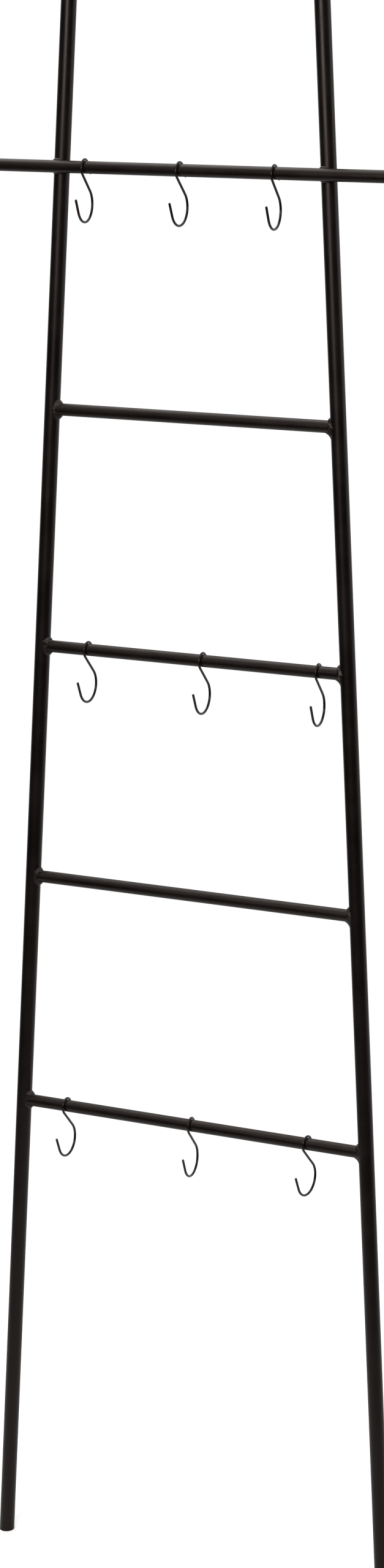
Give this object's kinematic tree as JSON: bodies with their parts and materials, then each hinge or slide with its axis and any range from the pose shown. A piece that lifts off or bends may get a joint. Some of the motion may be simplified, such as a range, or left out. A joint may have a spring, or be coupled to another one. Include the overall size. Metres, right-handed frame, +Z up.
{
  "type": "blanket ladder",
  "caption": "Leaning blanket ladder of black steel tube: tapering rails, round rungs, a clothes bar across the front and loose wire S-hooks.",
  "frame": {"origin": "on the floor, midway in width between the feet and midway in depth between the feet and the rail tops", "axes": "+Z up, +X to the viewer's right along the rungs, +Y towards the wall that the ladder leans on"},
  "size_m": [0.64, 0.1236, 1.9979],
  "materials": {
    "coated_tube": "satin",
    "weld": "satin",
    "plug_plastic": "matte",
    "hook_wire": "satin"
  },
  "bodies": {
    "frame": {"left_rail": "coated_tube", "right_rail": "coated_tube", "clothes_bar": "coated_tube", "rung_1": "coated_tube", "rung_2": "coated_tube", "rung_3": "coated_tube", "rung_4": "coated_tube", "weld_rung_1_left": "weld", "weld_rung_1_right": "weld", "weld_rung_2_left": "weld", "weld_rung_2_right": "weld", "weld_rung_3_left": "weld", "weld_rung_3_right": "weld", "weld_rung_4_left": "weld", "weld_rung_4_right": "weld", "bead_bar_upper_left": "weld", "bead_bar_upper_right": "weld", "bead_bar_lower_left": "weld", "bead_bar_lower_right": "weld", "foot_left": "plug_plastic", "foot_right": "plug_plastic", "rail_cap_left": "plug_plastic", "rail_cap_right": "plug_plastic", "bar_cap_left": "plug_plastic", "bar_cap_right": "plug_plastic"},
    "hook_bar_left": {"hook_bar_left": "hook_wire"},
    "hook_bar_middle": {"hook_bar_middle": "hook_wire"},
    "hook_bar_right": {"hook_bar_right": "hook_wire"},
    "hook_rung_3_left": {"hook_rung_3_left": "hook_wire"},
    "hook_rung_3_middle": {"hook_rung_3_middle": "hook_wire"},
    "hook_rung_3_right": {"hook_rung_3_right": "hook_wire"},
    "hook_rung_1_left": {"hook_rung_1_left": "hook_wire"},
    "hook_rung_1_middle": {"hook_rung_1_middle": "hook_wire"},
    "hook_rung_1_right": {"hook_rung_1_right": "hook_wire"}
  },
  "joints": [
    {"name": "hook_bar_left_swing", "type": "hinge", "parent": "frame", "child": "hook_bar_left", "pos_m": [-0.137, 0.02238, 1.75049], "axis": [1, 0, 0], "range_deg": [-60, 60]},
    {"name": "hook_bar_middle_swing", "type": "hinge", "parent": "frame", "child": "hook_bar_middle", "pos_m": [-0.009, 0.02238, 1.75049], "axis": [1, 0, 0], "range_deg": [-60, 60]},
    {"name": "hook_bar_right_swing", "type": "hinge", "parent": "frame", "child": "hook_bar_right", "pos_m": [0.116, 0.02238, 1.75049], "axis": [1, 0, 0], "range_deg": [-60, 60]},
    {"name": "hook_rung_3_left_swing", "type": "hinge", "parent": "frame", "child": "hook_rung_3_left", "pos_m": [-0.145, 0.00879, 1.1664], "axis": [1, 0, 0], "range_deg": [-60, 60]},
    {"name": "hook_rung_3_middle_swing", "type": "hinge", "parent": "frame", "child": "hook_rung_3_middle", "pos_m": [0.014, 0.00879, 1.1664], "axis": [1, 0, 0], "range_deg": [-60, 60]},
    {"name": "hook_rung_3_right_swing", "type": "hinge", "parent": "frame", "child": "hook_rung_3_right", "pos_m": [0.17, 0.00879, 1.1664], "axis": [1, 0, 0], "range_deg": [-60, 60]},
    {"name": "hook_rung_1_left_swing", "type": "hinge", "parent": "frame", "child": "hook_rung_1_left", "pos_m": [-0.178, -0.02177, 0.5832], "axis": [1, 0, 0], "range_deg": [-60, 60]},
    {"name": "hook_rung_1_middle_swing", "type": "hinge", "parent": "frame", "child": "hook_rung_1_middle", "pos_m": [-0.0005, -0.02177, 0.5832], "axis": [1, 0, 0], "range_deg": [-60, 60]},
    {"name": "hook_rung_1_right_swing", "type": "hinge", "parent": "frame", "child": "hook_rung_1_right", "pos_m": [0.16, -0.02177, 0.5832], "axis": [1, 0, 0], "range_deg": [-60, 60]}
  ]
}
